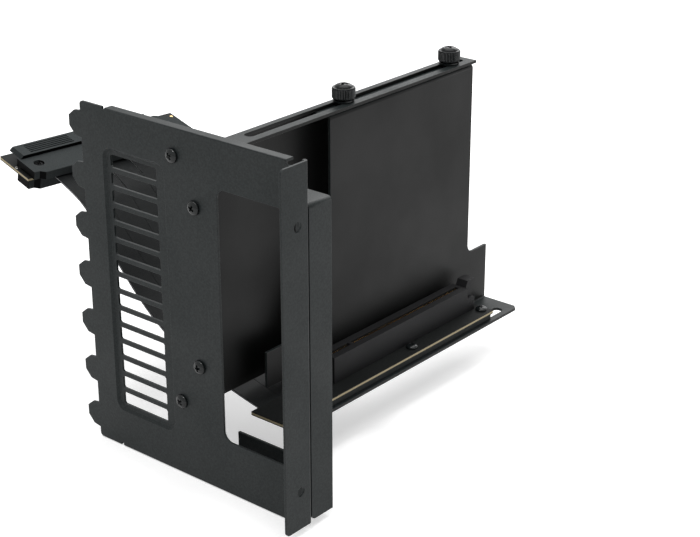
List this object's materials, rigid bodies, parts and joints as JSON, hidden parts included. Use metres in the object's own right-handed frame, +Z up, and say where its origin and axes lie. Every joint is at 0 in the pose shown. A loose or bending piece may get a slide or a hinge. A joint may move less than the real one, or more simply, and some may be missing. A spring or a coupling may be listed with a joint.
{
  "type": "vertical graphics card bracket",
  "caption": "Slotted steel rear plate and rail with a sliding carriage that holds a graphics card upright on a riser socket, with a flat ribbon cable and plug",
  "frame": {"origin": "Midway between the two slot-screw holes, on the inner face of the side flange.", "axes": "+X towards the side window of the case, +Y into the case, +Z up."},
  "size_m": [0.1835, 0.1869, 0.1421],
  "materials": {
    "black_powder_coat": "satin",
    "black_screw": "satin",
    "black_knurl": "satin",
    "black_socket": "matte",
    "riser_board": "gloss",
    "black_shell": "matte",
    "black_ribbon": "matte"
  },
  "bodies": {
    "base": {"rear_plate": "black_powder_coat", "arm_frame": "black_powder_coat", "card_cage": "black_powder_coat", "face_screws": "black_screw"},
    "carriage": {"carriage": "black_powder_coat", "clamp_nut_near": "black_screw", "clamp_nut_far": "black_screw", "socket_body": "black_socket", "socket_board": "riser_board", "socket_base": "black_shell", "board_screws": "black_screw", "ribbon_1": "black_ribbon", "ribbon_2": "black_ribbon", "ribbon_3": "black_ribbon", "ribbon_4": "black_ribbon", "ribbon_5": "black_ribbon", "plug_board": "riser_board", "plug_shell_top": "black_shell", "plug_shell_bottom": "black_shell", "plug_grip": "black_shell", "plug_screws": "black_screw"},
    "near_thumb": {"thumbscrew_near": "black_knurl", "thumb_washer_near": "black_screw"},
    "far_thumb": {"thumbscrew_far": "black_knurl", "thumb_washer_far": "black_screw"},
    "latch": {"socket_latch": "black_socket"}
  },
  "joints": [
    {"name": "carriage_slide", "type": "slide", "parent": "base", "child": "carriage", "axis": [0, 1, 0], "range_m": [-0.006, 0.006]},
    {"name": "near_thumb_turn", "type": "hinge", "parent": "carriage", "child": "near_thumb", "pos_m": [-0.05195, 0.087, 0.06335], "axis": [0, 0, 1], "range_deg": [0, 360]},
    {"name": "far_thumb_turn", "type": "hinge", "parent": "carriage", "child": "far_thumb", "pos_m": [-0.05195, 0.155, 0.06335], "axis": [0, 0, 1], "range_deg": [0, 360]},
    {"name": "latch_tilt", "type": "hinge", "parent": "carriage", "child": "latch", "pos_m": [-0.041, 0.15465, -0.0405], "axis": [-1, 0, 0], "range_deg": [0, 25]}
  ]
}
